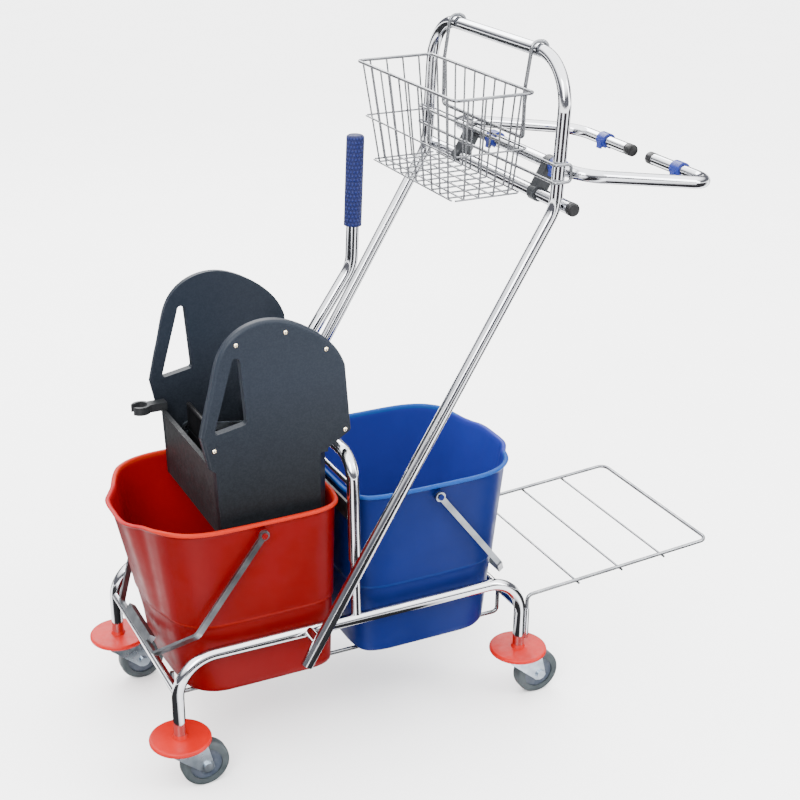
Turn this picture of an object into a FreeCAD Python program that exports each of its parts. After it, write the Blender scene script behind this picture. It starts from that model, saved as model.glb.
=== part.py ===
import FreeCAD, Part
import math
import os

os.makedirs("parts", exist_ok=True)

V = FreeCAD.Vector

# ---------------------------------------------------------------- driving dimensions (mm)
# Working axes: X runs from the front legs to the rack, Y across the trolley, Z up from the floor.
WHEELBASE = 619.0
TRACK_HALF = 169.0
TUBE_R = 10.0
TUBE_WALL = 1.5
RAIL_Z = 236.0
LEG_BEND = 65.0
LEG_FOOT_Z = 105.0

WHEEL_R = 40.0
WHEEL_HALF_W = 12.0
WHEEL_TRAIL = 38.0
AXLE_R = 4.0
STEM_R = 5.5
DISC_R = 50.0
DISC_BOTTOM_Z = 90.6
DISC_T = 8.6

CROSS_BAR_Z = 178.0
CROSS_BAR_R = 7.0
CRADLE_ROD_R = 3.5
CRADLE_ROD_Y = 110.0
CRADLE_ROD_Z = 140.0

HANDLE_HALF = 211.6
HANDLE_FOOT = (201.7, 200.6)
HANDLE_KNEE = (622.0, 900.0)
HANDLE_TOP = (633.0, 1121.6)

HOOP_X = 309.6
HOOP_R = 10.5
HOOP_TOP_Z = 518.0

BUCKET_BOTTOM_Z = 143.6
BUCKET_STEP_Z = 270.0
BUCKET_RIM_Z = 443.0
BUCKET_WALL = 3.0
BUCKET_LIP = 5.0
BUCKET_LIP_H = 6.0
BUCKET_CENTRE_X = 307.5

BAIL_PIVOT = (154.0, 424.0)
BAIL_ANGLE = 232.6
BAIL_ARM = 190.0
BAIL_REACH = 270.0
BAIL_Y = 165.5
BAIL_GRIP_HALF = 90.0
BAIL_PIN_R = 4.0

PLATE_IN = 118.0
PLATE_OUT = 132.0
WRINGER_BOTTOM_Z = 414.0
SHAFT = (241.0, 516.0)
SHAFT_R = 8.0
LEVER_Y = 60.0
LEVER_R = 10.5
JAW_PIVOT = (128.0, 430.0)
JAW_PIN_R = 5.0
JAW_TOP = 116.0
JAW_LUG = 72.0
CRANK_R = 30.0
CRANK_ANGLE = -100.0
LINK_PIN_R = 4.0
LINK_SLOT = 3.0
RUNNING = 0.06

RING_AXIS = (665.0, 943.0)
RING_DROOP = 9.3
RING_HALF = 205.0
RING_DEPTH = 262.0
RING_BEND = 45.0
RING_GAP_HALF = 26.0
CROSS_TUBE = (641.0, 900.0)
CROSS_TUBE_HALF = 226.0

RACK_WIRE_R = 3.25
RACK_SLEEVE_R = 4.8
RACK_SLEEVE_X = WHEELBASE + TUBE_R + RACK_SLEEVE_R - 0.3
RACK_Z = 197.0
RACK_END_X = 1010.0
RACK_SLOPE = 3.4

BASKET_RIM_Z = 1067.0
BASKET_FLOOR_Z = 908.0
BASKET_RIM = (469.0, 604.0, 168.0)
BASKET_FLOOR = (487.0, 599.0, 138.0)
BASKET_RIM_R = 2.5
BASKET_WIRE_R = 1.5
HANGER_R = 3.0
HANGER_Y = 130.0

# the origin sits under the middle of the bounding box
X_MID = (RACK_END_X + RACK_WIRE_R - DISC_R) / 2.0


# ---------------------------------------------------------------- helpers
def save(name, shape):
    """Write one piece, moved from the working axes to the shared origin."""
    moved = shape.copy()
    moved.translate(V(-X_MID, 0, 0))
    moved.exportStep("parts/" + name + ".step")


def path(points, bends):
    """Wire through the points; bends[i] is the bend radius at inner point i + 1."""
    pts = [V(*p) for p in points]
    edges = []
    start = pts[0]
    for i in range(1, len(pts) - 1):
        corner = pts[i]
        back = (pts[i - 1] - corner).normalize()
        ahead = (pts[i + 1] - corner).normalize()
        half = back.getAngle(ahead) / 2.0
        reach = bends[i - 1] / math.tan(half)
        first = corner + back * reach
        last = corner + ahead * reach
        inward = (back + ahead).normalize()
        centre = corner + inward * (bends[i - 1] / math.sin(half))
        middle = centre - inward * bends[i - 1]
        if (first - start).Length > 1e-6:
            edges.append(Part.makeLine(start, first))
        edges.append(Part.Arc(first, middle, last).toShape())
        start = last
    edges.append(Part.makeLine(start, pts[-1]))
    return Part.Wire(edges)


def rod(points, bends, radius):
    """Round bar swept along a bent path."""
    spine = path(points, bends)
    start = spine.Edges[0].Vertexes[0].Point
    heading = spine.Edges[0].tangentAt(spine.Edges[0].FirstParameter)
    circle = Part.Wire(Part.makeCircle(radius, start, heading))
    return spine.makePipeShell([circle], True, True)


def tube(points, bends, radius, wall):
    """Hollow round tube with open, square-cut ends."""
    return rod(points, bends, radius).cut(rod(points, bends, radius - wall))


def cylinder(radius, start, end):
    a = V(*start)
    b = V(*end)
    return Part.makeCylinder(radius, (b - a).Length, a, b - a)


def box(x0, x1, y0, y1, z0, z1):
    return Part.makeBox(x1 - x0, y1 - y0, z1 - z0, V(x0, y0, z0))


def slab(points, y0, y1):
    """Polygon given as (x, z) corners, extruded from y0 to y1."""
    wire = Part.makePolygon([V(x, y0, z) for x, z in points] + [V(points[0][0], y0, points[0][1])])
    return Part.Face(wire).extrude(V(0, y1 - y0, 0))


def mirror_y(shape):
    return shape.mirror(V(0, 0, 0), V(0, 1, 0))


def polar(origin, reach, degrees):
    """Point in the X-Z plane at a distance and angle from an origin."""
    turn = math.radians(degrees)
    return (origin[0] + reach * math.cos(turn), origin[1] + reach * math.sin(turn))


def fuse(shapes):
    whole = shapes[0].multiFuse(shapes[1:]) if len(shapes) > 1 else shapes[0]
    return whole.removeSplitter()


# ---------------------------------------------------------------- trolley frame
def side_rail_points(side):
    y = side * TRACK_HALF
    return [(0, y, LEG_FOOT_Z), (0, y, RAIL_Z), (WHEELBASE, y, RAIL_Z), (WHEELBASE, y, LEG_FOOT_Z)]


def side_rail(side):
    """One bent tube: front leg, long rail and rear leg."""
    return tube(side_rail_points(side), [LEG_BEND, LEG_BEND], TUBE_R, TUBE_WALL)


def side_rail_solid(side):
    return rod(side_rail_points(side), [LEG_BEND, LEG_BEND], TUBE_R)


def cross_bar(x):
    """Bar welded between a near and a far leg."""
    bar = cylinder(CROSS_BAR_R, (x, -TRACK_HALF, CROSS_BAR_Z), (x, TRACK_HALF, CROSS_BAR_Z))
    for side in (-1, 1):
        bar = bar.cut(side_rail_solid(side))
    return bar


def cradle_rod(side):
    """Rod the buckets stand on, with its ends turned up against the cross bars."""
    y = side * CRADLE_ROD_Y
    front = CROSS_BAR_R + CRADLE_ROD_R - 0.2
    rear = WHEELBASE - front
    top = CROSS_BAR_Z + 4.0
    points = [(front, y, top), (front, y, CRADLE_ROD_Z), (rear, y, CRADLE_ROD_Z), (rear, y, top)]
    bar = rod(points, [9.0, 9.0], CRADLE_ROD_R)
    for x in (0, WHEELBASE):
        bar = bar.cut(cylinder(CROSS_BAR_R, (x, -TRACK_HALF, CROSS_BAR_Z), (x, TRACK_HALF, CROSS_BAR_Z)))
    return bar


def post_stub(side):
    """Short post welded on the rail; the wringer hoop slips over its top."""
    stub = cylinder(8.1, (HOOP_X, side * 166.93, RAIL_Z + 2), (HOOP_X, side * 161.65, 362))
    return stub.cut(side_rail_solid(side))


def hoop_points():
    return [(HOOP_X, -162.5, 342), (HOOP_X, -155, HOOP_TOP_Z), (HOOP_X, 155, HOOP_TOP_Z), (HOOP_X, 162.5, 342)]


def wringer_hoop():
    """Inverted U the wringer hangs on."""
    hoop = rod(hoop_points(), [42.0, 42.0], HOOP_R)
    core = rod(hoop_points(), [42.0, 42.0], 8.2)
    return hoop.cut(core)


def hoop_solid():
    return rod(hoop_points(), [42.0, 42.0], HOOP_R)


def hoop_crossbar():
    bar = cylinder(4.0, (HOOP_X - 1.0, -156, 470), (HOOP_X - 1.0, 156, 470))
    return bar.cut(hoop_solid())


def hoop_plate():
    """Flat stop plate between the hoop legs, with a bolt head at each end."""
    plate = box(HOOP_X - 3.6, HOOP_X + 0.4, -160, 160, 405, 435)
    return plate.cut(hoop_solid())


def handle_points():
    foot_x, foot_z = HANDLE_FOOT
    knee_x, knee_z = HANDLE_KNEE
    top_x, top_z = HANDLE_TOP
    y = HANDLE_HALF
    return [(foot_x, -y, foot_z), (knee_x, -y, knee_z), (top_x, -y, top_z),
            (top_x, y, top_z), (knee_x, y, knee_z), (foot_x, y, foot_z)]


def handle_hoop():
    """Leaning push handle: two long struts, two uprights and the top grip bar."""
    return tube(handle_points(), [70.0, 76.0, 76.0, 70.0], TUBE_R, TUBE_WALL)


def handle_solid():
    return rod(handle_points(), [70.0, 76.0, 76.0, 70.0], TUBE_R)


def strut_x(z):
    """X of the leaning strut at a height below the knee."""
    share = (z - HANDLE_FOOT[1]) / (HANDLE_KNEE[1] - HANDLE_FOOT[1])
    return HANDLE_FOOT[0] + share * (HANDLE_KNEE[0] - HANDLE_FOOT[0])


def handle_bracket(side, handle):
    """Spacer welded between the rail and the leaning strut."""
    x = strut_x(RAIL_Z)
    spacer = cylinder(8.5, (x, side * TRACK_HALF, RAIL_Z), (x, side * HANDLE_HALF, RAIL_Z))
    return spacer.cut(side_rail_solid(side)).cut(handle)


def rack_sleeve(side):
    """Small socket on the back of a rear leg for a leg of the wire rack."""
    y = side * TRACK_HALF
    sleeve = cylinder(RACK_SLEEVE_R, (RACK_SLEEVE_X, y, 113), (RACK_SLEEVE_X, y, 172))
    bore = cylinder(RACK_WIRE_R + RUNNING, (RACK_SLEEVE_X, y, 112), (RACK_SLEEVE_X, y, 173))
    return sleeve.cut(bore).cut(side_rail_solid(side))


def cross_tube(handle):
    """Straight tube across the back of the uprights, below the bag ring."""
    x, z = CROSS_TUBE
    whole = cylinder(TUBE_R, (x, -CROSS_TUBE_HALF, z), (x, CROSS_TUBE_HALF, z))
    bore = cylinder(TUBE_R - TUBE_WALL, (x, -CROSS_TUBE_HALF - 1, z), (x, CROSS_TUBE_HALF + 1, z))
    return whole.cut(bore).cut(handle)


def tube_cap(side):
    """Domed plastic plug closing an end of the cross tube."""
    x, z = CROSS_TUBE
    head = cylinder(TUBE_R + 0.6, (x, side * CROSS_TUBE_HALF, z), (x, side * (CROSS_TUBE_HALF + 10), z))
    outer = [e for e in head.Edges if abs(abs(e.CenterOfMass.y) - CROSS_TUBE_HALF - 10) < 0.01]
    head = head.makeFillet(3.5, outer)
    plug = cylinder(TUBE_R - TUBE_WALL, (x, side * (CROSS_TUBE_HALF - 14), z), (x, side * (CROSS_TUBE_HALF + 1), z))
    return fuse([head, plug])


def ring_bracket(side):
    """Block clamped on the cross tube that carries the folding bag ring."""
    tx, tz = CROSS_TUBE
    rx, rz = RING_AXIS
    y0 = side * 125.0 - 9.0
    y1 = side * 125.0 + 9.0
    along = math.atan2(rz - tz, rx - tx)
    nx = -math.sin(along) * 11.5
    nz = math.cos(along) * 11.5
    web = slab([(tx + nx, tz + nz), (rx + nx, rz + nz), (rx - nx, rz - nz), (tx - nx, tz - nz)], y0, y1)
    block = fuse([web, cylinder(13.0, (tx, y0, tz), (tx, y1, tz)), cylinder(13.0, (rx, y0, rz), (rx, y1, rz))])
    block = block.cut(cylinder(TUBE_R, (tx, y0 - 1, tz), (tx, y1 + 1, tz)))
    return block.cut(cylinder(TUBE_R + RUNNING, (rx, y0 - 1, rz), (rx, y1 + 1, rz)))


def stay_wire():
    """Closed wire loop tying the two uprights together behind the basket."""
    x_front = 611.3
    x_back = 638.3
    y = HANDLE_HALF + 12.6
    z_low = 942.0
    z_high = 969.0
    loop = [(x_back, -y, z_low + 5.5), (x_back, -y, z_low), (x_front, -y, z_low), (x_front, y, z_low),
            (x_back, y, z_low), (x_back, y, z_high), (x_front, y, z_high), (x_front, -y, z_high),
            (x_back, -y, z_high), (x_back, -y, z_low + 5.5)]
    return rod(loop, [5.4] + [6.0] * 7, 2.5)


def bumper_disc(x, side):
    """Bumper disc under a leg with a plug that fills the foot of the tube."""
    y = side * TRACK_HALF
    disc = Part.makeCylinder(DISC_R, DISC_T, V(x, y, DISC_BOTTOM_Z))
    disc = disc.makeFillet(3.8, [e for e in disc.Edges if e.Length > 2 * math.pi * DISC_R * 0.99])
    collar = Part.makeCone(12.5, 9.6, LEG_FOOT_Z - DISC_BOTTOM_Z - DISC_T, V(x, y, DISC_BOTTOM_Z + DISC_T))
    plug = Part.makeCylinder(TUBE_R - TUBE_WALL, 34.0, V(x, y, LEG_FOOT_Z))
    bore = Part.makeCylinder(STEM_R + RUNNING, 40.0, V(x, y, DISC_BOTTOM_Z - 1))
    return fuse([disc, collar, plug]).cut(bore)


# ---------------------------------------------------------------- castors
def castor_fork(x, side):
    """Pressed fork with its swivel head, stem and axle bolt."""
    y = side * TRACK_HALF
    crown = box(x - 22, x + 38, y - 16.5, y + 16.5, 83, 85.5)
    head = Part.makeCone(18.0, 14.0, DISC_BOTTOM_Z - 86.0, V(x, y, 85.5))
    stem = Part.makeCylinder(STEM_R, 36.0, V(x, y, 88))
    axle_x = x + WHEEL_TRAIL
    cheeks = []
    for sign in (-1, 1):
        inner = y + sign * 14.0
        outer = y + sign * 16.5
        profile = [(x - 22, 85.5), (x - 20, 74), (axle_x - 12, 34), (axle_x - 7.5, 29.5), (axle_x, 27.5),
                   (axle_x + 7.5, 29.5), (axle_x + 12, 36), (x + 43, 66), (x + 38, 85.5)]
        cheeks.append(slab(profile, min(inner, outer), max(inner, outer)))
    axle = cylinder(AXLE_R, (axle_x, y - 20, WHEEL_R), (axle_x, y + 20, WHEEL_R))
    bolt = cylinder(7.5, (axle_x, y - 21, WHEEL_R), (axle_x, y - 16.5, WHEEL_R))
    nut = cylinder(6.5, (axle_x, y + 16.5, WHEEL_R), (axle_x, y + 21, WHEEL_R))
    return fuse([crown, head, stem, axle, bolt, nut] + cheeks)


def castor_wheel(x, side):
    """Wheel: soft tread with rounded shoulders round a dished hub."""
    y = side * TRACK_HALF
    axle_x = x + WHEEL_TRAIL
    w = WHEEL_HALF_W
    wheel = cylinder(WHEEL_R, (axle_x, y - w, WHEEL_R), (axle_x, y + w, WHEEL_R))
    wheel = wheel.makeFillet(6.0, [e for e in wheel.Edges if e.Length > 2 * math.pi * WHEEL_R * 0.99])
    for sign in (-1, 1):
        groove = cylinder(27.0, (axle_x, y + sign * (w + 1), WHEEL_R), (axle_x, y + sign * (w - 3), WHEEL_R))
        core = cylinder(13.0, (axle_x, y + sign * (w + 1), WHEEL_R), (axle_x, y + sign * (w - 3), WHEEL_R))
        wheel = wheel.cut(groove.cut(core))
    return wheel.cut(cylinder(AXLE_R + RUNNING, (axle_x, y - w - 1, WHEEL_R), (axle_x, y + w + 1, WHEEL_R)))


# ---------------------------------------------------------------- buckets
# half outlines from the inner end round one side to the pouring end, (x, y) in the red bucket
RIM_HALF = [(296, 0), (296, 60), (294.5, 108), (284, 139), (255, 152), (200, 155), (120, 155.5), (70, 153.5),
            (36, 144), (13, 127), (0, 108), (-8, 90), (-14, 75), (-24, 59), (-33, 42), (-36, 21), (-36, 0)]
FLOOR_HALF = [(289, 0), (289, 55), (288, 102), (278, 134), (249, 147), (195, 148.5), (120, 148.5), (84, 147),
              (60, 138), (43, 122), (34, 104), (30, 86), (28, 70), (26.5, 54), (26, 38), (25, 19), (25, 0)]


def outline(share, grow, z):
    """Closed smooth outline between floor (0) and rim (1), grown sideways by a small amount."""
    half = []
    for (fx, fy), (rx, ry) in zip(FLOOR_HALF, RIM_HALF):
        half.append((fx + (rx - fx) * share, fy + (ry - fy) * share))
    loop = half + [(x, -y) for x, y in reversed(half[1:-1])]
    grown = []
    for i, (x, y) in enumerate(loop):
        before = loop[i - 1]
        after = loop[(i + 1) % len(loop)]
        tangent = V(after[0] - before[0], after[1] - before[1], 0).normalize()
        grown.append(V(x + tangent.y * grow, y - tangent.x * grow, z))
    curve = Part.BSplineCurve()
    curve.interpolate(grown, PeriodicFlag=True)
    return Part.Wire(curve.toShape())


def bucket_body(floor_z, grow):
    """Solid through floor, shoulder step and rim; the part below the step is a little slimmer."""
    span = BUCKET_RIM_Z - BUCKET_BOTTOM_Z
    sections = []
    for z, slim in ((floor_z, 1.8), (BUCKET_STEP_Z, 1.8), (BUCKET_STEP_Z + 2.0, 0.0), (BUCKET_RIM_Z, 0.0)):
        sections.append(outline((z - BUCKET_BOTTOM_Z) / span, grow - slim, z))
    return Part.makeLoft(sections, True, True)


def bucket():
    """Tapered bucket with a shoulder step, a rolled lip and a pouring end; bail pins at its sides."""
    hollow = bucket_body(BUCKET_BOTTOM_Z + BUCKET_WALL, -BUCKET_WALL)
    lip_z = BUCKET_RIM_Z - BUCKET_LIP_H
    lip = Part.Face(outline(1.0, BUCKET_LIP, lip_z)).extrude(V(0, 0, BUCKET_LIP_H))
    body = bucket_body(BUCKET_BOTTOM_Z, 0.0).fuse(lip).cut(hollow)
    px, pz = BAIL_PIVOT
    for side in (-1, 1):
        body = body.fuse(cylinder(8.0, (px, side * 153.2, pz), (px, side * 162, pz)))
        body = body.fuse(cylinder(BAIL_PIN_R, (px, side * 161, pz), (px, side * 170, pz)))
        body = body.fuse(cylinder(5.0, (px, side * 168.6, pz), (px, side * 170.4, pz)))
    return body


def turned(shape):
    """The second bucket and bail stand half a turn round from the first."""
    other = shape.copy()
    other.rotate(V(BUCKET_CENTRE_X, 0, 0), V(0, 0, 1), 180)
    return other


def bail():
    """Carrying handle: two arms that close in towards a finger grip."""
    px, pz = BAIL_PIVOT
    kink = polar(BAIL_PIVOT, BAIL_ARM, BAIL_ANGLE)
    end = polar(BAIL_PIVOT, BAIL_REACH, BAIL_ANGLE)
    turn = math.radians(BAIL_ANGLE)
    normal = V(-math.sin(turn), 0, math.cos(turn))
    points = [(px, -BAIL_Y, pz), (kink[0], -BAIL_Y, kink[1]), (end[0], -BAIL_GRIP_HALF, end[1]),
              (end[0], BAIL_GRIP_HALF, end[1]), (kink[0], BAIL_Y, kink[1]), (px, BAIL_Y, pz)]
    spine = path(points, [14.0, 12.0, 12.0, 14.0])
    half_wide = 5.0
    half_thick = 2.5
    a = V(px, -BAIL_Y - half_thick, pz)
    start = V(px, -BAIL_Y, pz)
    across = V(0, 1, 0) * half_thick
    up = normal * half_wide
    corners = [start - across - up, start + across - up, start + across + up, start - across + up]
    section = Part.makePolygon(corners + [corners[0]])
    strip = spine.makePipeShell([section], True, False, 2)
    eyes = []
    for side in (-1, 1):
        eyes.append(cylinder(8.5, (px, side * (BAIL_Y - half_thick), pz), (px, side * (BAIL_Y + half_thick), pz)))
    grip_centre = polar(BAIL_PIVOT, BAIL_REACH - 6.0, BAIL_ANGLE)
    grip = Part.makeBox(16, 110, 12, V(-8, -55, -6))
    grip.rotate(V(0, 0, 0), V(0, 1, 0), -BAIL_ANGLE)
    grip.translate(V(grip_centre[0], 0, grip_centre[1]))
    whole = fuse([strip, grip] + eyes)
    for side in (-1, 1):
        whole = whole.cut(cylinder(BAIL_PIN_R + RUNNING, (px, side * 160, pz), (px, side * 169, pz)))
    return whole


# ---------------------------------------------------------------- wringer
PLATE_LEFT = [(96.6, WRINGER_BOTTOM_Z), (92, 529), (82, 536), (71.5, 588), (83.4, 638)]
PLATE_TOP = [(83.4, 638), (97, 692), (111, 726), (137, 750), (188, 761), (246, 740), (293.5, 700), (310, 668)]
PLATE_REAR = [(310, 668), (319, 559), (278, 534), (277, WRINGER_BOTTOM_Z)]
PLATE_CHAMFER = 12.0
HAND_HOLE = [(126, 712), (137, 707), (145, 600), (91, 590)]


def plate_profile(y):
    edges = []
    for a, b in zip(PLATE_LEFT, PLATE_LEFT[1:]):
        edges.append(Part.makeLine(V(a[0], y, a[1]), V(b[0], y, b[1])))
    crown = Part.BSplineCurve()
    crown.interpolate([V(x, y, z) for x, z in PLATE_TOP])
    edges.append(crown.toShape())
    for a, b in zip(PLATE_REAR, PLATE_REAR[1:]):
        edges.append(Part.makeLine(V(a[0], y, a[1]), V(b[0], y, b[1])))
    edges.append(Part.makeLine(V(PLATE_REAR[-1][0], y, PLATE_REAR[-1][1]), V(PLATE_LEFT[0][0], y, PLATE_LEFT[0][1])))
    return Part.Wire(edges)


def hand_hole():
    """Rounded triangular grip opening through a side plate."""
    prism = slab(HAND_HOLE, -PLATE_OUT - 2, -PLATE_IN + 2)
    upright = [e for e in prism.Edges if abs(e.Vertexes[0].Point.y - e.Vertexes[-1].Point.y) > 5]
    return prism.makeFillet(5.0, upright)


def rear_chamfer():
    """Wedge off the outer rear corner of the foot, which clears the rounded corner of the bucket."""
    x = PLATE_REAR[-1][0] - PLATE_CHAMFER
    z = WRINGER_BOTTOM_Z - 1.0
    corners = [V(x - 8, -PLATE_OUT - 8, z), V(x + 24, -PLATE_OUT + 24, z), V(x + 24, -PLATE_OUT - 8, z)]
    return Part.Face(Part.makePolygon(corners + corners[:1])).extrude(V(0, 0, 528.0 - z))


def side_plate():
    """Near side plate with its screws, shaft bore and jaw pivot bore."""
    plate = Part.Face(plate_profile(-PLATE_OUT)).extrude(V(0, PLATE_OUT - PLATE_IN, 0))
    rim = []
    for e in plate.Edges:
        on_outer = all(abs(v.Point.y + PLATE_OUT) < 0.01 for v in e.Vertexes)
        if on_outer and e.CenterOfMass.z > 560:
            rim.append(e)
    plate = plate.makeFillet(6.0, rim)
    plate = plate.cut(hand_hole()).cut(rear_chamfer())
    screws = []
    for x, z in ((131.6, 730), (211, 738), (277, 700), (308, 560), (91, 565)):
        dome = Part.makeSphere(4.6, V(x, -PLATE_OUT + 2.6, z))
        screws.append(dome.common(box(x - 8, x + 8, -PLATE_OUT - 3, -PLATE_OUT + 1, z - 8, z + 8)))
    plate = fuse([plate] + screws)
    sx, sz = SHAFT
    jx, jz = JAW_PIVOT
    plate = plate.cut(cylinder(SHAFT_R + RUNNING, (sx, -PLATE_IN + 1, sz), (sx, -PLATE_IN - 8, sz)))
    return plate.cut(cylinder(JAW_PIN_R + RUNNING, (jx, -PLATE_IN + 1, jz), (jx, -PLATE_IN - 8, jz)))


def wringer_box():
    """Front wall, drain floor and rear wall joining the two side plates."""
    y = PLATE_IN
    front = slab([(96.6, WRINGER_BOTTOM_Z), (101.6, WRINGER_BOTTOM_Z), (97, 529), (90, 541), (82, 541), (92, 527)],
                 -y, y)
    floor = box(99, 274, -y, y, WRINGER_BOTTOM_Z, WRINGER_BOTTOM_Z + 4)
    rear = slab([(272.5, WRINGER_BOTTOM_Z), (277, WRINGER_BOTTOM_Z), (277.6, 512), (273.1, 512)], -y, y)
    tray = fuse([front, floor, rear])
    for i in range(5):
        for j in range(7):
            x = 118 + i * 31.0
            yy = -96 + j * 32.0
            tray = tray.cut(box(x, x + 18, yy - 4, yy + 4, WRINGER_BOTTOM_Z - 1, WRINGER_BOTTOM_Z + 5))
    return tray


def mop_clip():
    """Open spring ring beside the mouth that steadies a mop handle."""
    base = box(62, 92.5, 99, 117, 541.5, 555)
    foot = slab([(82, 541), (90, 541), (92.5, 545), (82, 545)], 99, 117)
    outer = Part.makeCylinder(16.0, 13.5, V(50, 108, 541.5))
    inner = Part.makeCylinder(11.0, 15.5, V(50, 108, 540.5))
    mouth = box(28, 50, 101, 115, 540, 556)
    return fuse([base, foot, outer]).cut(inner).cut(mouth)


def crank_end(turn):
    return polar(SHAFT, CRANK_R, CRANK_ANGLE + turn)


def lug_point(turn):
    """Jaw pin position once the jaw has swung back by an angle."""
    return polar(JAW_PIVOT, JAW_LUG, 90.0 - turn)


def lever():
    """Steel lever tube on its shaft, with the two cranks and their pins."""
    sx, sz = SHAFT
    shaft = cylinder(SHAFT_R, (sx, -PLATE_IN - 7, sz), (sx, PLATE_IN + 7, sz))
    hub = cylinder(14.0, (sx, LEVER_Y - 13, sz), (sx, LEVER_Y + 13, sz))
    lean = 54.6
    elbow = (407, 757)
    start = polar(SHAFT, 8.0, lean)
    arm = rod([(start[0], LEVER_Y, start[1]), (elbow[0], LEVER_Y, elbow[1]), (415, LEVER_Y, 968)], [60.0], LEVER_R)
    pieces = [shaft, hub, arm]
    ax, az = crank_end(0)
    for side in (-1, 1):
        y0, y1 = sorted((side * 108.0, side * 114.0))
        along = math.radians(CRANK_ANGLE)
        nx = -math.sin(along) * 8.0
        nz = math.cos(along) * 8.0
        web = slab([(sx + nx, sz + nz), (ax + nx, az + nz), (ax - nx, az - nz), (sx - nx, sz - nz)], y0, y1)
        pieces += [web, cylinder(8.0, (ax, y0, az), (ax, y1, az)), cylinder(13.0, (sx, y0, sz), (sx, y1, sz))]
        pieces.append(cylinder(LINK_PIN_R, (ax, side * 109, az), (ax, side * 98.5, az)))
    return fuse(pieces)


def lever_grip():
    """Ribbed plastic sleeve over the top of the lever."""
    heading = math.degrees(math.atan2(968 - 757, 415 - 407))
    low = polar((415, 968), -142.0, heading)
    high = polar((415, 968), 6.0, heading)
    sleeve = cylinder(14.5, (low[0], LEVER_Y, low[1]), (high[0], LEVER_Y, high[1]))
    crown = [e for e in sleeve.Edges if e.CenterOfMass.z > high[1] - 1 and e.Length > 80]
    sleeve = sleeve.makeFillet(5.0, crown)
    bore_start = polar((415, 968), -150.0, heading)
    return sleeve.cut(cylinder(LEVER_R, (bore_start[0], LEVER_Y, bore_start[1]), (415, LEVER_Y, 968)))


def jaw():
    """Pressing plate hinged near the floor of the wringer, ribbed on its back."""
    jx, jz = JAW_PIVOT
    y = 97.0
    plate = box(jx - 3, jx + 3, -y, y, jz, jz + JAW_TOP)
    beam = cylinder(8.0, (jx, -y, jz), (jx, y, jz))
    pins = cylinder(JAW_PIN_R, (jx, -PLATE_IN - 7, jz), (jx, PLATE_IN + 7, jz))
    bx, bz = lug_point(0)
    lugs = cylinder(LINK_PIN_R, (bx, -107, bz), (bx, 107, bz))
    ribs = [box(jx, jx + 10, i * 32.0 - 2, i * 32.0 + 2, jz, jz + JAW_TOP - 14) for i in range(-2, 3)]
    lip = cylinder(4.0, (jx, -y, jz + JAW_TOP), (jx, y, jz + JAW_TOP))
    return fuse([plate, beam, pins, lugs, lip] + ribs)


def link(side):
    """Flat bar from a crank pin to the jaw; its jaw end has a working slot."""
    ax, az = crank_end(0)
    bx, bz = lug_point(0)
    y0, y1 = sorted((side * 100.0, side * 105.0))
    along = math.atan2(bz - az, bx - ax)
    nx = -math.sin(along) * 6.5
    nz = math.cos(along) * 6.5
    bar = slab([(ax + nx, az + nz), (bx + nx, bz + nz), (bx - nx, bz - nz), (ax - nx, az - nz)], y0, y1)
    bar = fuse([bar, cylinder(8.0, (ax, y0, az), (ax, y1, az)), cylinder(11.0, (bx, y0, bz), (bx, y1, bz))])
    bar = bar.cut(cylinder(LINK_PIN_R + RUNNING, (ax, y0 - 1, az), (ax, y1 + 1, az)))
    return bar.cut(cylinder(LINK_PIN_R + LINK_SLOT, (bx, y0 - 1, bz), (bx, y1 + 1, bz)))


# ---------------------------------------------------------------- basket
def frame_at(share):
    """Front x, rear x and half width of the basket between floor (0) and rim (1)."""
    return [f + (r - f) * share for f, r in zip(BASKET_FLOOR, BASKET_RIM)]


def basket_rim():
    x0, x1, y = BASKET_RIM
    z = BASKET_RIM_Z
    points = [(x0, 0, z), (x0, y, z), (x1, y, z), (x1, -y, z), (x0, -y, z), (x0, 0, z)]
    return rod(points, [10.0] * 4, BASKET_RIM_R)


def wire(start, end, radius=BASKET_WIRE_R):
    return cylinder(radius, start, end)


def basket_face(rear, rim):
    """Long face: upright wires and one stringer, tied to the rim."""
    x_top = BASKET_RIM[1] if rear else BASKET_RIM[0]
    x_low = BASKET_FLOOR[1] if rear else BASKET_FLOOR[0]
    count = 10
    wires = []
    for i in range(count):
        share = -1.0 + 2.0 * (i + 0.5) / count
        top = (x_top, share * (BASKET_RIM[2] - 6), BASKET_RIM_Z)
        low = (x_low, share * (BASKET_FLOOR[2] - 4), BASKET_FLOOR_Z)
        wires.append(wire(top, low))
    for share in (0.0, 0.45):
        x0, x1, y = frame_at(share)
        x = x1 if rear else x0
        z = BASKET_FLOOR_Z + share * (BASKET_RIM_Z - BASKET_FLOOR_Z)
        out = 2.5 if rear else -2.5
        wires.append(wire((x + out, -y + 2, z), (x + out, y - 2, z)))
    return fuse(wires).cut(rim)


def basket_end(side, rim):
    """Short face: upright wires and one stringer, tied to the rim."""
    count = 4
    wires = []
    for i in range(count):
        share = (i + 0.5) / count
        top_x = BASKET_RIM[0] + 8 + share * (BASKET_RIM[1] - BASKET_RIM[0] - 16)
        low_x = BASKET_FLOOR[0] + 5 + share * (BASKET_FLOOR[1] - BASKET_FLOOR[0] - 10)
        wires.append(wire((top_x, side * BASKET_RIM[2], BASKET_RIM_Z), (low_x, side * BASKET_FLOOR[2], BASKET_FLOOR_Z)))
    for share in (0.0, 0.45):
        x0, x1, y = frame_at(share)
        z = BASKET_FLOOR_Z + share * (BASKET_RIM_Z - BASKET_FLOOR_Z)
        wires.append(wire((x0 + 1.6, side * (y + 2.5), z), (x1 - 1.6, side * (y + 2.5), z)))
    return fuse(wires).cut(rim)


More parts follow.
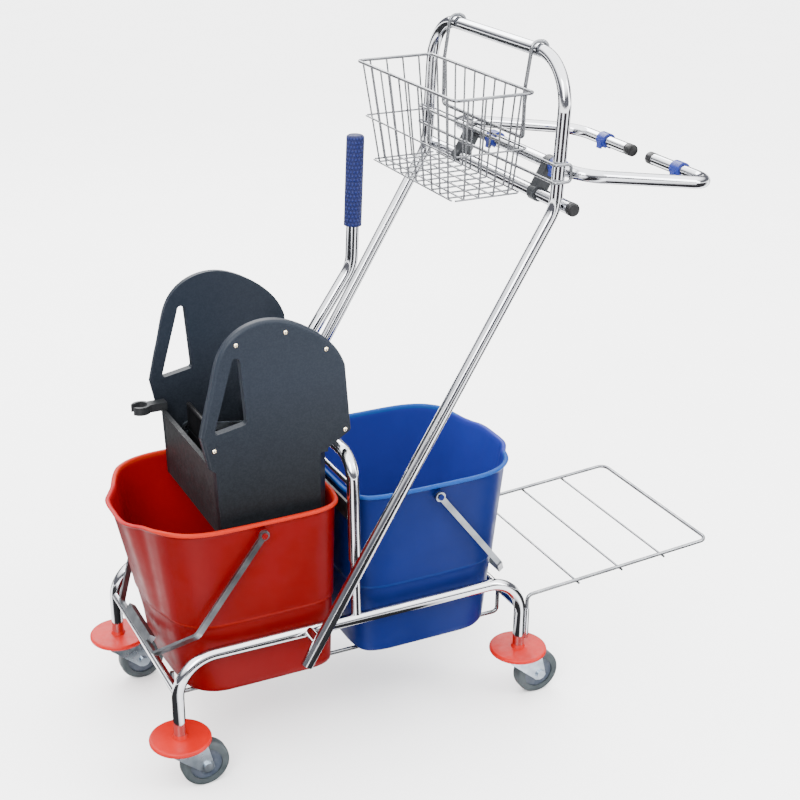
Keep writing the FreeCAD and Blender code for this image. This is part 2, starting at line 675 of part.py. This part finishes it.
def basket_floor():
    """Grid of floor wires lying between the four faces."""
    x0, x1, y = BASKET_FLOOR
    z = BASKET_FLOOR_Z
    inset = BASKET_WIRE_R - 0.05
    wires = []
    for i in range(10):
        yy = (-1.0 + 2.0 * (i + 0.5) / 10) * (y - 4)
        wires.append(wire((x0 + inset, yy, z), (x1 - inset, yy, z)))
    for i in range(4):
        xx = x0 + 5 + (i + 0.5) / 4 * (x1 - x0 - 10)
        wires.append(wire((xx, -y + inset, z), (xx, y - inset, z)))
    return fuse(wires)


def basket_hanger(rim):
    """Heavy wire behind the basket with two hooks over the grip bar."""
    bar_x, bar_z = HANDLE_TOP
    gap = TUBE_R + HANGER_R + 0.3
    x = BASKET_RIM[1] + BASKET_RIM_R + HANGER_R - 0.2
    points = []
    for side in (-1, 1):
        y = side * HANGER_Y
        part = [(bar_x + gap, y, bar_z - 12), (bar_x + gap, y, bar_z + gap), (bar_x - gap, y, bar_z + gap),
                (x, y, 1066), (x, y, 991)]
        points += part if side < 0 else part[::-1]
    bends = [12.0, 12.0, 9.0, 7.0, 7.0, 9.0, 12.0, 12.0]
    return rod(points, bends, HANGER_R).cut(rim)


# ---------------------------------------------------------------- rack and bag ring
def rack():
    """Wire rack that plugs into the sockets on the rear legs, with three cross wires."""
    y = TRACK_HALF
    rise = math.tan(math.radians(RACK_SLOPE))
    end_z = RACK_Z + (RACK_END_X - RACK_SLEEVE_X) * rise
    x0 = RACK_SLEEVE_X
    points = [(x0, -y, 116), (x0, -y, RACK_Z), (RACK_END_X, -y, end_z), (RACK_END_X, y, end_z),
              (x0, y, RACK_Z), (x0, y, 116)]
    frame = rod(points, [11.0, 16.0, 16.0, 11.0], RACK_WIRE_R)
    wires = [frame]
    for x in (735.0, 824.0, 913.0):
        z = RACK_Z + (x - x0) * rise - RACK_WIRE_R - 1.6
        wires.append(wire((x, -y - 5, z), (x, y + 5, z), 2.0))
    return fuse(wires)


def tilt_ring(shape):
    shape.rotate(V(RING_AXIS[0], 0, RING_AXIS[1]), V(0, 1, 0), RING_DROOP)
    return shape


def bag_ring():
    """Open C of tube that holds a bag; it folds up about its own cross part."""
    x0, z = RING_AXIS
    x1 = x0 + RING_DEPTH
    y = RING_HALF
    points = [(x1, -RING_GAP_HALF, z), (x1, -y, z), (x0, -y, z), (x0, y, z), (x1, y, z), (x1, RING_GAP_HALF, z)]
    return tilt_ring(rod(points, [RING_BEND] * 4, TUBE_R))


def ring_clip(x, y):
    """Snap-on clip that holds the bag on the ring."""
    z = RING_AXIS[1]
    sleeve = cylinder(13.5, (x, y - 11, z), (x, y + 11, z))
    tab = box(x - 13.5, x - 9.0, y - 6, y + 6, z - 15, z - 2)
    sleeve = fuse([sleeve, tab])
    sleeve = sleeve.cut(cylinder(TUBE_R, (x, y - 12, z), (x, y + 12, z)))
    return tilt_ring(sleeve.cut(box(x - 4, x + 4, y - 12, y + 12, z - 16, z)))


# ---------------------------------------------------------------- build
def build():
    handle = handle_solid()
    for name, side in (("near", -1), ("far", 1)):
        save("side_rail_" + name, side_rail(side))
        save("cradle_rod_" + name, cradle_rod(side))
        save("post_stub_" + name, post_stub(side))
        save("handle_bracket_" + name, handle_bracket(side, handle))
        save("rack_sleeve_" + name, rack_sleeve(side))
        save("tube_cap_" + name, tube_cap(side))
        save("ring_bracket_" + name, ring_bracket(side))
        save("link_" + name, link(side))
        for end, x in (("front", 0.0), ("rear", WHEELBASE)):
            save("bumper_disc_" + end + "_" + name, bumper_disc(x, side))
            save("castor_fork_" + end + "_" + name, castor_fork(x, side))
            save("castor_wheel_" + end + "_" + name, castor_wheel(x, side))
    save("cross_bar_front", cross_bar(0.0))
    save("cross_bar_rear", cross_bar(WHEELBASE))
    save("wringer_hoop", wringer_hoop())
    save("hoop_crossbar", hoop_crossbar())
    save("hoop_plate", hoop_plate())
    save("handle_hoop", handle_hoop())
    save("cross_tube", cross_tube(handle))
    save("stay_wire", stay_wire())
    red = bucket()
    save("bucket_red", red)
    save("bucket_blue", turned(red))
    red_bail = bail()
    save("bail_red", red_bail)
    save("bail_blue", turned(red_bail))
    near_plate = side_plate()
    save("wringer_plate_near", near_plate)
    save("wringer_plate_far", mirror_y(near_plate))
    save("wringer_box", wringer_box())
    save("mop_clip", mop_clip())
    save("wringer_jaw", jaw())
    save("wringer_lever", lever())
    save("lever_grip", lever_grip())
    rim = basket_rim()
    faces = {"front": basket_face(False, rim), "rear": basket_face(True, rim),
             "near": basket_end(-1, rim), "far": basket_end(1, rim)}
    save("basket_rim", rim)
    for name, face in faces.items():
        save("basket_side_" + name, face)
    save("basket_floor", basket_floor())
    save("basket_hanger", basket_hanger(rim))
    save("wire_rack", rack())
    save("bag_ring", bag_ring())
    x_out = RING_AXIS[0] + RING_DEPTH
    for name, x, y in (("a", RING_AXIS[0], 50.0), ("b", RING_AXIS[0], -148.0), ("c", x_out, 109.0),
                       ("d", x_out, -109.0)):
        save("ring_clip_" + name, ring_clip(x, y))


build()
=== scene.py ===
import math
import bmesh
import bpy
from mathutils import Matrix, Vector

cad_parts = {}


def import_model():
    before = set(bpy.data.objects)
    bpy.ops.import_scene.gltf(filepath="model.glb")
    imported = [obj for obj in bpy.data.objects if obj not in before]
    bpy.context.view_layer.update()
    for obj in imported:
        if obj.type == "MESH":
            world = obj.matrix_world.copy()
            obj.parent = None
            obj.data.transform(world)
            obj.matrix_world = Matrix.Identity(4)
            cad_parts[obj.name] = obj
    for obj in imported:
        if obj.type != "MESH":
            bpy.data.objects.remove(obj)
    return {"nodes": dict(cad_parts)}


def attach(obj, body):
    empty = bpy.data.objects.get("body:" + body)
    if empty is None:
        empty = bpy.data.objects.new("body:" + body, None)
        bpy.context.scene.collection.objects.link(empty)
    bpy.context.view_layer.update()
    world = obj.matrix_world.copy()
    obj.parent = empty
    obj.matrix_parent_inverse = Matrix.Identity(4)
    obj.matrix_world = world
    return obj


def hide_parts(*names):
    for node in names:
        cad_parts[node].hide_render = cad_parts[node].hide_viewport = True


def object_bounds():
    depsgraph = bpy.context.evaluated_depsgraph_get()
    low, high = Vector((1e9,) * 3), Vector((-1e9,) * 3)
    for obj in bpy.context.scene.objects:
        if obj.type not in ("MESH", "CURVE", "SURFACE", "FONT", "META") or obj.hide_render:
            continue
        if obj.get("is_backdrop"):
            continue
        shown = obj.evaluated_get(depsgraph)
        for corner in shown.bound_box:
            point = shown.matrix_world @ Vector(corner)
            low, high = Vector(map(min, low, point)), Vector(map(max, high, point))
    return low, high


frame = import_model()
NODES = frame["nodes"]


def write_size(key, sizes):
    low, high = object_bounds()
    sizes[key] = [list(low), list(high)]


SIZES = {}
write_size("frame", SIZES)

# the working axes of the CAD start at the front legs; the shared origin is this much further along X
X_MID = 0.481625
WHEEL_AXLE_Z = 0.04
TREAD_FROM = 0.0268
LIP_FROM_Z = 0.4366
SHOULDER_LOW, SHOULDER_HIGH = 0.2685, 0.2735
PLATE_FACE_Y = 0.13215
GRIP_DOTS_ROUND = 16
GRIP_ROWS_PER_METRE = 150.0
# middle of the bag ring tube at its two open ends, as x and z
RING_END = (0.9236 - X_MID, 0.9007)
GRIP_AXIS = (-0.0694, 0.06)
AXLES = ((0.038, -0.169), (0.038, 0.169), (0.657, -0.169), (0.657, 0.169))


# ---------------------------------------------------------------- node helpers
class Shader:
    """A material with a Principled shader and short calls for adding nodes to it."""

    def __init__(self, name, rough, metal=0.0):
        self.mat = bpy.data.materials.new(name)
        self.mat.use_nodes = True
        self.tree = self.mat.node_tree
        self.main = self.tree.nodes["Principled BSDF"]
        self.main.inputs["Roughness"].default_value = rough
        self.main.inputs["Metallic"].default_value = metal
        self.place = self.tree.nodes.new("ShaderNodeTexCoord").outputs["Object"]

    def link(self, out, socket):
        self.tree.links.new(out, socket)

    def noise(self, scale, detail=4.0, stretch=(1, 1, 1)):
        mapping = self.tree.nodes.new("ShaderNodeMapping")
        mapping.inputs["Scale"].default_value = stretch
        self.link(self.place, mapping.inputs["Vector"])
        node = self.tree.nodes.new("ShaderNodeTexNoise")
        node.inputs["Scale"].default_value = scale
        node.inputs["Detail"].default_value = detail
        self.link(mapping.outputs["Vector"], node.inputs["Vector"])
        return node.outputs["Fac"]

    def axis(self, name):
        node = self.tree.nodes.new("ShaderNodeSeparateXYZ")
        self.link(self.place, node.inputs["Vector"])
        return node.outputs[name]

    def math(self, kind, a, b=0.0):
        node = self.tree.nodes.new("ShaderNodeMath")
        node.operation = kind
        for value, socket in ((a, node.inputs[0]), (b, node.inputs[1])):
            if isinstance(value, (int, float)):
                socket.default_value = value
            else:
                self.link(value, socket)
        return node.outputs[0]

    def spread(self, value, low, high, to_low=0.0, to_high=1.0):
        node = self.tree.nodes.new("ShaderNodeMapRange")
        node.inputs["From Min"].default_value = low
        node.inputs["From Max"].default_value = high
        node.inputs["To Min"].default_value = to_low
        node.inputs["To Max"].default_value = to_high
        self.link(value, node.inputs["Value"])
        return node.outputs["Result"]

    def mix(self, share, a, b):
        node = self.tree.nodes.new("ShaderNodeMix")
        node.data_type = "RGBA"
        self.link(share, node.inputs[0])
        for value, socket in ((a, node.inputs[6]), (b, node.inputs[7])):
            if isinstance(value, tuple):
                socket.default_value = value + (1.0,)
            else:
                self.link(value, socket)
        return node.outputs[2]

    def color(self, value):
        socket = self.main.inputs["Base Color"]
        if isinstance(value, tuple):
            socket.default_value = value + (1.0,)
        else:
            self.link(value, socket)
        return self

    def rough(self, value):
        self.link(value, self.main.inputs["Roughness"])
        return self

    def bump(self, height, strength, distance):
        node = self.tree.nodes.new("ShaderNodeBump")
        node.inputs["Strength"].default_value = strength
        node.inputs["Distance"].default_value = distance
        self.link(height, node.inputs["Height"])
        self.link(node.outputs["Normal"], self.main.inputs["Normal"])
        return self


# ---------------------------------------------------------------- materials
def chrome():
    s = Shader("chrome", 0.08, 1.0)
    smudge = s.noise(9.0, 5.0)
    s.color(s.mix(s.spread(smudge, 0.35, 0.75), (0.58, 0.585, 0.60), (0.42, 0.43, 0.46)))
    s.rough(s.spread(s.noise(30.0, 6.0), 0.35, 0.75, 0.05, 0.14))
    return s.bump(s.noise(260.0, 3.0), 0.05, 0.0003).mat


def wire_chrome():
    s = Shader("wire_chrome", 0.16, 1.0)
    s.color(s.mix(s.spread(s.noise(24.0), 0.35, 0.7), (0.22, 0.225, 0.235), (0.13, 0.135, 0.145)))
    s.rough(s.spread(s.noise(60.0), 0.3, 0.7, 0.16, 0.30))
    return s.bump(s.noise(500.0), 0.08, 0.0002).mat


def zinc():
    s = Shader("zinc", 0.3, 1.0)
    s.color(s.mix(s.spread(s.noise(70.0, 5.0), 0.35, 0.68), (0.46, 0.52, 0.58), (0.30, 0.35, 0.41)))
    s.rough(s.spread(s.noise(45.0), 0.3, 0.7, 0.2, 0.42))
    return s.bump(s.noise(420.0), 0.12, 0.0003).mat


def aluminium():
    s = Shader("aluminium", 0.34, 1.0)
    s.color(s.mix(s.spread(s.noise(34.0), 0.35, 0.7), (0.26, 0.275, 0.29), (0.17, 0.18, 0.195)))
    s.rough(s.spread(s.noise(120.0, 3.0, (0.2, 1, 0.2)), 0.3, 0.7, 0.26, 0.44))
    return s.bump(s.noise(420.0, 3.0, (0.15, 1, 0.15)), 0.1, 0.0003).mat


def bucket_plastic(name, deep, body, lip):
    """Moulded bucket: slightly mottled body, a painted highlight on the rolled lip and a thin painted
    highlight line on the shoulder.
    """
    s = Shader(name, 0.36)
    s.main.inputs["Specular IOR Level"].default_value = 0.07
    height = s.axis("Z")
    mottled = s.mix(s.spread(s.noise(6.0, 3.0), 0.3, 0.7), deep, body)
    # painted highlights: the rolled lip above LIP_FROM_Z takes the pale lip colour, and the shoulder step
    # between SHOULDER_LOW and SHOULDER_HIGH gets 22% of it as a thin pale line
    lip_highlight_mask = s.math("GREATER_THAN", height, LIP_FROM_Z)
    above = s.math("GREATER_THAN", height, SHOULDER_LOW)
    below = s.math("LESS_THAN", height, SHOULDER_HIGH)
    step_highlight_mask = s.math("MULTIPLY", above, below)
    lit = s.math("MAXIMUM", lip_highlight_mask, s.math("MULTIPLY", step_highlight_mask, 0.22))
    s.color(s.mix(lit, mottled, lip))
    s.rough(s.spread(s.noise(40.0, 6.0), 0.3, 0.7, 0.30, 0.44))
    s.main.inputs["Subsurface Weight"].default_value = 0.06
    s.main.inputs["Subsurface Radius"].default_value = (0.01, 0.004, 0.004)
    return s.bump(s.noise(700.0, 3.0), 0.12, 0.0003).mat


def wringer_plastic(name, low, high):
    """Dark structural plastic that turns more slate towards the top, with bright screw heads."""
    s = Shader(name, 0.45)
    height = s.spread(s.axis("Z"), 0.46, 0.66)
    s.main.inputs["Specular IOR Level"].default_value = 0.14
    speckle = s.spread(s.noise(420.0, 2.0), 0.4, 0.62, 0.0, 0.05)
    plastic = s.mix(speckle, s.mix(height, low, high), (0.06, 0.07, 0.085))
    proud = s.math("GREATER_THAN", s.math("ABSOLUTE", s.axis("Y")), PLATE_FACE_Y)
    s.color(s.mix(proud, plastic, (0.86, 0.74, 0.52)))
    s.link(proud, s.main.inputs["Metallic"])
    s.rough(s.spread(proud, 0.0, 1.0, 0.42, 0.12))
    return s.bump(s.noise(900.0, 3.0), 0.07, 0.0003).mat


def plain_plastic(name, a, b, rough, grain=600.0, depth=0.15):
    s = Shader(name, rough)
    s.main.inputs["Specular IOR Level"].default_value = 0.25
    s.color(s.mix(s.spread(s.noise(28.0, 4.0), 0.35, 0.7), a, b))
    s.rough(s.spread(s.noise(90.0, 4.0), 0.3, 0.7, rough - 0.06, rough + 0.1))
    return s.bump(s.noise(grain, 3.0), depth, 0.0004).mat


def bumper_orange():
    s = Shader("bumper_orange", 0.38)
    s.color(s.mix(s.spread(s.noise(22.0, 4.0), 0.35, 0.7), (0.33, 0.0016, 0.0), (0.27, 0.0012, 0.0)))
    s.main.inputs["Specular IOR Level"].default_value = 0.2
    s.rough(s.spread(s.noise(120.0, 4.0), 0.3, 0.7, 0.3, 0.5))
    s.main.inputs["Subsurface Weight"].default_value = 0.05
    s.main.inputs["Subsurface Radius"].default_value = (0.008, 0.003, 0.002)
    return s.bump(s.noise(520.0), 0.15, 0.0004).mat


def wheel_material(name, axle_x, axle_y):
    """Grey tread outside, darker hub inside, told apart by distance from the axle."""
    s = Shader(name, 0.6)
    dx = s.math("SUBTRACT", s.axis("X"), axle_x - X_MID)
    dz = s.math("SUBTRACT", s.axis("Z"), WHEEL_AXLE_Z)
    away = s.math("SQRT", s.math("ADD", s.math("MULTIPLY", dx, dx), s.math("MULTIPLY", dz, dz)))
    is_tread = s.math("GREATER_THAN", away, TREAD_FROM)
    scuffed = s.mix(s.spread(s.noise(60.0, 5.0), 0.4, 0.65), (0.026, 0.035, 0.039), (0.018, 0.025, 0.029))
    hub = s.mix(s.spread(s.noise(160.0), 0.4, 0.6), (0.026, 0.036, 0.055), (0.042, 0.052, 0.072))
    s.color(s.mix(is_tread, hub, scuffed))
    s.rough(s.spread(is_tread, 0.0, 1.0, 0.38, 0.62))
    return s.bump(s.noise(420.0, 4.0), 0.25, 0.0005).mat


def dotted_grip():
    """Soft blue sleeve with small raised dots in staggered rows round it."""
    s = Shader("dotted_grip", 0.5)
    dy = s.math("SUBTRACT", s.axis("Y"), GRIP_AXIS[1])
    dx = s.math("SUBTRACT", s.axis("X"), GRIP_AXIS[0])
    column = s.math("MULTIPLY", s.math("ARCTAN2", dy, dx), GRIP_DOTS_ROUND / math.tau)
    row = s.math("MULTIPLY", s.axis("Z"), GRIP_ROWS_PER_METRE)
    odd = s.math("MULTIPLY", s.math("MODULO", s.math("FLOOR", row), 2.0), 0.5)
    u = s.math("SUBTRACT", s.math("FRACT", s.math("ADD", s.math("ADD", column, odd), 20.0)), 0.5)
    v = s.math("SUBTRACT", s.math("FRACT", row), 0.5)
    away = s.math("SQRT", s.math("ADD", s.math("MULTIPLY", u, u), s.math("MULTIPLY", v, v)))
    top = s.spread(away, 0.22, 0.38, 1.0, 0.0)
    s.color(s.mix(top, (0.0022, 0.0050, 0.042), (0.0065, 0.0125, 0.085)))
    s.main.inputs["Specular IOR Level"].default_value = 0.2
    s.rough(s.spread(s.noise(90.0), 0.3, 0.7, 0.42, 0.58))
    return s.bump(top, 0.8, 0.0014).mat


# pale lip colours: painted highlights for the rolled lip, also used faintly for the shoulder step line
RED_LIP_PAINTED_HIGHLIGHT = (0.26, 0.010, 0.003)
BLUE_LIP_PAINTED_HIGHLIGHT = (0.004, 0.035, 0.16)
M = {
    "chrome": chrome(),
    "wire": wire_chrome(),
    "zinc": zinc(),
    "aluminium": aluminium(),
    "red": bucket_plastic("bucket_red_plastic", (0.078, 0.0002, 0.0005), (0.098, 0.0004, 0.0008), RED_LIP_PAINTED_HIGHLIGHT),
    "blue": bucket_plastic("bucket_blue_plastic", (0.0018, 0.0060, 0.054), (0.0026, 0.0082, 0.070), BLUE_LIP_PAINTED_HIGHLIGHT),
    # inside copies: the same plastic painted about two and a half times brighter than the outside, as painted
    # light inside the bucket
    "red_inner_painted_light": bucket_plastic("bucket_red_inside_painted_light", (0.20, 0.003, 0.005), (0.24, 0.004, 0.006), RED_LIP_PAINTED_HIGHLIGHT),
    "blue_inner_painted_light": bucket_plastic(
        "bucket_blue_inside_painted_light", (0.010, 0.016, 0.135), (0.013, 0.021, 0.165), BLUE_LIP_PAINTED_HIGHLIGHT),
    "slate": wringer_plastic("wringer_slate", (0.0036, 0.0042, 0.0052), (0.0075, 0.0108, 0.017)),
    "charcoal": plain_plastic("wringer_charcoal", (0.0050, 0.0058, 0.0066), (0.0085, 0.0095, 0.011), 0.5),
    "black": plain_plastic("black_plastic", (0.0025, 0.0025, 0.003), (0.006, 0.006, 0.007), 0.38),
    "orange": bumper_orange(),
    "grip": dotted_grip(),
    "clip": plain_plastic("clip_blue", (0.006, 0.013, 0.12), (0.009, 0.018, 0.15), 0.34),
    "grey": plain_plastic("bracket_grey", (0.014, 0.0155, 0.018), (0.020, 0.022, 0.025), 0.42),
}
WIRES = ("basket", "wire_rack", "stay_wire", "cradle_rod")
PREFIXES = (
    ("castor_fork", "zinc"), ("bumper_disc", "orange"), ("bucket_red", "red"), ("bucket_blue", "blue"),
    ("bail", "aluminium"), ("wringer_plate", "slate"), ("wringer_box", "charcoal"), ("mop_clip", "charcoal"),
    ("wringer_jaw", "black"), ("hoop_plate", "black"), ("tube_cap", "black"), ("lever_grip", "grip"),
    ("ring_clip", "clip"), ("ring_bracket", "grey"), ("link", "zinc"),
)


def finish_of(name):
    if name.startswith(WIRES):
        return M["wire"]
    for prefix, key in PREFIXES:
        if name.startswith(prefix):
            return M[key]
    return M["chrome"]


def dress_frame():
    """Gives every CAD node its material and smooth shading with crisp edges."""
    for name, obj in NODES.items():
        if name.startswith("castor_wheel"):
            rear = "rear" in name
            far = name.endswith("far")
            spot = AXLES[2 * rear + far]
            material = wheel_material(name + "_rubber", spot[0], spot[1])
        else:
            material = finish_of(name)
        obj.data.materials.clear()
        obj.data.materials.append(material)
        for poly in obj.data.polygons:
            poly.use_smooth = True
            poly.material_index = 0
        obj.data.set_sharp_from_angle(angle=math.radians(32))


dress_frame()


def add_piece(mesh, name, sharp_degrees, materials):
    """Turns a finished bmesh into a smooth-shaded object."""
    bmesh.ops.recalc_face_normals(mesh, faces=mesh.faces)
    data = bpy.data.meshes.new(name)
    mesh.to_mesh(data)
    mesh.free()
    obj = bpy.data.objects.new(name, data)
    bpy.context.scene.collection.objects.link(obj)
    for poly in data.polygons:
        poly.use_smooth = True
    data.set_sharp_from_angle(angle=math.radians(sharp_degrees))
    for material in materials:
        data.materials.append(material)
    return obj


# ---------------------------------------------------------------- buckets
# half outlines in mm from the inner end round to the pouring end, as (x, y) in the working axes
RIM_HALF = [(296, 0), (296, 60), (294.5, 108), (284, 139), (255, 152), (200, 155), (120, 155.5), (70, 153.5),
            (36, 144), (13, 127), (0, 108), (-8, 90), (-14, 75), (-24, 59), (-33, 42), (-36, 21), (-36, 0)]
FLOOR_HALF = [(289, 0), (289, 55), (288, 102), (278, 134), (249, 147), (195, 148.5), (120, 148.5), (84, 147),
              (60, 138), (43, 122), (34, 104), (30, 86), (28, 70), (26.5, 54), (26, 38), (25, 19), (25, 0)]
BUCKET_CENTRE = 307.5
FLOOR_Z, STEP_Z, RIM_Z = 143.6, 270.0, 443.0


def curve_through(loop, per_span):
    """Closed smooth curve through the points (Catmull-Rom)."""
    points = []
    count = len(loop)
    for i in range(count):
        a, b, c, d = (loop[(i + k - 1) % count] for k in range(4))
        for j in range(per_span):
            t = j / per_span
            points.append(tuple(
                0.5 * (2 * q + (r - p) * t + (2 * p - 5 * q + 4 * r - u) * t * t
                       + (3 * q - p - 3 * r + u) * t ** 3)
                for p, q, r, u in zip(a, b, c, d)))
    return points


def bucket_row(z, grow):
    """Points round the bucket at a height; the pouring end dips towards its tip near the rim."""
    share = (z - FLOOR_Z) / (RIM_Z - FLOOR_Z)
    half = []
    for f, r in zip(FLOOR_HALF, RIM_HALF):
        half.append((f[0] + (r[0] - f[0]) * share, f[1] + (r[1] - f[1]) * share))
    loop = curve_through(half + [(x, -y) for x, y in reversed(half[1:-1])], 5)
    row = []
    for i, (x, y) in enumerate(loop):
        before, after = loop[i - 1], loop[(i + 1) % len(loop)]
        tangent = Vector((after[0] - before[0], after[1] - before[1])).normalized()
        tip = min(max((12.0 - x) / 42.0, 0.0), 1.0)
        tip = tip * tip * (3 - 2 * tip)
        dip = 11.0 * tip * max(0.0, (z - 330.0) / (RIM_Z - 330.0)) ** 2
        row.append(Vector((x + tangent.y * grow, y - tangent.x * grow, z - dip)))
    return row


# height and outward offset from the plain wall, from the floor up the outside, over the lip and down inside
BUCKET_ROWS = [
    (143.8, -14.0), (143.6, -8.0), (144.6, -4.2), (148.0, -2.0), (156.0, -1.6), (200.0, -1.6),
    (262.0, -1.6), (268.5, -1.5), (271.0, 0.0), (273.5, 0.5), (280.0, 0.2), (330.0, 0.0),
    (390.0, 0.0), (430.0, 0.0), (435.0, 0.3), (436.4, 1.6), (436.8, 3.6), (438.0, 5.0),
    (440.2, 5.5), (442.2, 4.6), (443.0, 2.4), (443.0, 0.0), (442.2, -1.8), (439.5, -3.0),
    (430.0, -3.2), (390.0, -3.2), (330.0, -3.2), (274.0, -3.2), (268.0, -4.6), (200.0, -4.6),
    (160.0, -4.8), (150.5, -7.0), (147.0, -12.0),
]


# rows of BUCKET_ROWS from here on make the inside of the bucket
INNER_FROM = 18


def make_bucket(name, body, node, material, inner, turn):
    """One-piece bucket wall, floor and rolled lip, plus the two pivot bosses of the bail."""
    mesh = bmesh.new()
    rows = []
    for z, grow in BUCKET_ROWS:
        row = []
        for p in bucket_row(z, grow):
            x, y = p.x, p.y
            if turn:
                x, y = 2 * BUCKET_CENTRE - x, -y
            row.append(mesh.verts.new((x / 1000 - X_MID, y / 1000, p.z / 1000)))
        rows.append(row)
    for step, (low, high) in enumerate(zip(rows, rows[1:])):
        for i in range(len(low)):
            j = (i + 1) % len(low)
            # rows from INNER_FROM on take the second material, the brighter inside copy that carries painted
            # light
            mesh.faces.new((low[i], low[j], high[j], high[i])).material_index = int(step >= INNER_FROM)
    for row in (rows[0], rows[-1]):
        centre = mesh.verts.new(sum((v.co for v in row), Vector()) / len(row))
        for i in range(len(row)):
            mesh.faces.new((row[i], row[(i + 1) % len(row)], centre)).material_index = int(row is rows[-1])
    pivot_x = (154.0 if not turn else 2 * BUCKET_CENTRE - 154.0) / 1000 - X_MID
    for side in (-1, 1):
        for radius, low, high in ((0.008, 0.1525, 0.162), (0.004, 0.161, 0.170), (0.005, 0.1686, 0.1704)):
            place = Matrix.Translation((pivot_x, side * (low + high) / 2, 0.424)) @ Matrix.Rotation(
                math.radians(90), 4, "X")
            bmesh.ops.create_cone(mesh, cap_ends=True, segments=28, radius1=radius, radius2=radius,
                                  depth=high - low, matrix=place)
    obj = add_piece(mesh, name, 50, (material, inner))
    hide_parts(node)
    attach(obj, body)


make_bucket("red_bucket_shell", "red_bucket", "bucket_red", M["red"], M["red_inner_painted_light"], False)
make_bucket("blue_bucket_shell", "blue_bucket", "bucket_blue", M["blue"], M["blue_inner_painted_light"], True)


# ---------------------------------------------------------------- plugs in the open ends of the bag ring
# distance from the middle of the gap, and radius, from the closed end along the plug
CAP_ROWS = (
    (0.0235, 0.0), (0.0235, 0.0085), (0.0243, 0.0098), (0.0256, 0.0104), (0.040, 0.0104), (0.0406, 0.0101),
)
CAP_SIDES = 40


def ring_caps():
    """Black plugs pressed over the two ends of the ring tube, one on each side of its gap."""
    for name, side in (("ring_cap_near", -1), ("ring_cap_far", 1)):
        mesh = bmesh.new()
        rows = []
        for away, radius in CAP_ROWS:
            ring = []
            for i in range(CAP_SIDES):
                turn = math.tau * i / CAP_SIDES
                ring.append(mesh.verts.new((RING_END[0] + radius * math.cos(turn), side * away,
                                            RING_END[1] + radius * math.sin(turn))))
            rows.append(ring)
        for low, high in zip(rows, rows[1:]):
            for i in range(CAP_SIDES):
                mesh.faces.new((low[i], low[(i + 1) % CAP_SIDES], high[(i + 1) % CAP_SIDES], high[i]))
        bmesh.ops.remove_doubles(mesh, verts=mesh.verts, dist=0.00001)
        obj = add_piece(mesh, name, 40, (M["black"],))
        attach(obj, "bag_holder")


ring_caps()


# ---------------------------------------------------------------- stage
def floor():
    bpy.ops.mesh.primitive_plane_add(size=120.0)
    plane = bpy.context.object
    plane.name = "floor"
    s = Shader("floor_pale", 0.8)
    s.main.inputs["Specular IOR Level"].default_value = 0.0
    s.color(s.mix(s.spread(s.noise(3.0), 0.3, 0.7), (0.92, 0.92, 0.92), (0.90, 0.90, 0.90)))
    plane.data.materials.append(s.mat)
    plane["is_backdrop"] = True


def area(name, place, aim, size, power):
    light = bpy.data.lights.new(name, "AREA")
    light.shape = "RECTANGLE"
    light.size, light.size_y = size
    light.energy = power
    obj = bpy.data.objects.new(name, light)
    bpy.context.scene.collection.objects.link(obj)
    obj.location = place
    obj.rotation_mode = "QUATERNION"
    obj.rotation_quaternion = (Vector(aim) - Vector(place)).to_track_quat("-Z", "Y")
    obj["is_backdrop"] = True


def dark_fan():
    """Low card of dark and light sectors seen only in reflections, for streaks along the tubes."""
    bpy.ops.mesh.primitive_circle_add(vertices=96, radius=9.0, fill_type="NGON", location=(0, 0, 0.002))
    card = bpy.context.object
    card.name = "dark_fan"
    s = Shader("fan_sectors", 0.9)
    s.main.inputs["Specular IOR Level"].default_value = 0.0
    turn = s.math("ARCTAN2", s.axis("Y"), s.axis("X"))
    wave = s.math("SINE", s.math("ADD", s.math("MULTIPLY", turn, 5.0), 0.6))
    s.color(s.mix(s.spread(wave, 0.05, 0.9), (0.012, 0.012, 0.013), (0.85, 0.85, 0.86)))
    card.data.materials.append(s.mat)
    card.visible_camera = False
    card.visible_diffuse = False
    card.visible_shadow = False
    card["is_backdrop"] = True


def world():
    """Bright overhead sky that falls to a dim band at the horizon."""
    w = bpy.data.worlds.new("studio")
    bpy.context.scene.world = w
    w.use_nodes = True
    tree = w.node_tree
    back = tree.nodes["Background"]
    coord = tree.nodes.new("ShaderNodeTexCoord")
    parts = tree.nodes.new("ShaderNodeSeparateXYZ")
    ramp = tree.nodes.new("ShaderNodeValToRGB")
    tree.links.new(coord.outputs["Generated"], parts.inputs["Vector"])
    tree.links.new(parts.outputs["Z"], ramp.inputs["Fac"])
    tree.links.new(ramp.outputs["Color"], back.inputs["Color"])
    ramp.color_ramp.elements[0].position = 0.28
    ramp.color_ramp.elements[0].color = (0.04, 0.04, 0.045, 1)
    ramp.color_ramp.elements[1].position = 0.60
    ramp.color_ramp.elements[1].color = (1.0, 1.0, 1.0, 1)
    back.inputs["Strength"].default_value = 6.5


floor()
dark_fan()
world()
area("key", (-2.4, -2.6, 2.9), (0, 0, 0.5), (1.6, 2.4), 170)
area("fill", (2.6, -2.2, 2.0), (0, 0, 0.5), (0.8, 2.4), 80)
area("back", (0.6, 3.0, 2.6), (0, 0, 0.6), (2.4, 1.0), 80)


def camera():
    yaw, pitch = math.radians(25.18), math.radians(23.92)
    cam = bpy.data.cameras.new("camera")
    obj = bpy.data.objects.new("camera", cam)
    bpy.context.scene.collection.objects.link(obj)
    obj.location = (-0.584 - X_MID, -2.105, 1.555)
    ahead = Vector((math.sin(yaw) * math.cos(pitch), math.cos(yaw) * math.cos(pitch), -math.sin(pitch)))
    obj.rotation_mode = "QUATERNION"
    obj.rotation_quaternion = ahead.to_track_quat("-Z", "Y")
    cam.sensor_width = 36.0
    cam.lens = 68.51
    cam.shift_x = 0.0424
    cam.shift_y = 0.0114
    cam.clip_end = 200.0
    bpy.context.scene.camera = obj


camera()
write_size("final", SIZES)
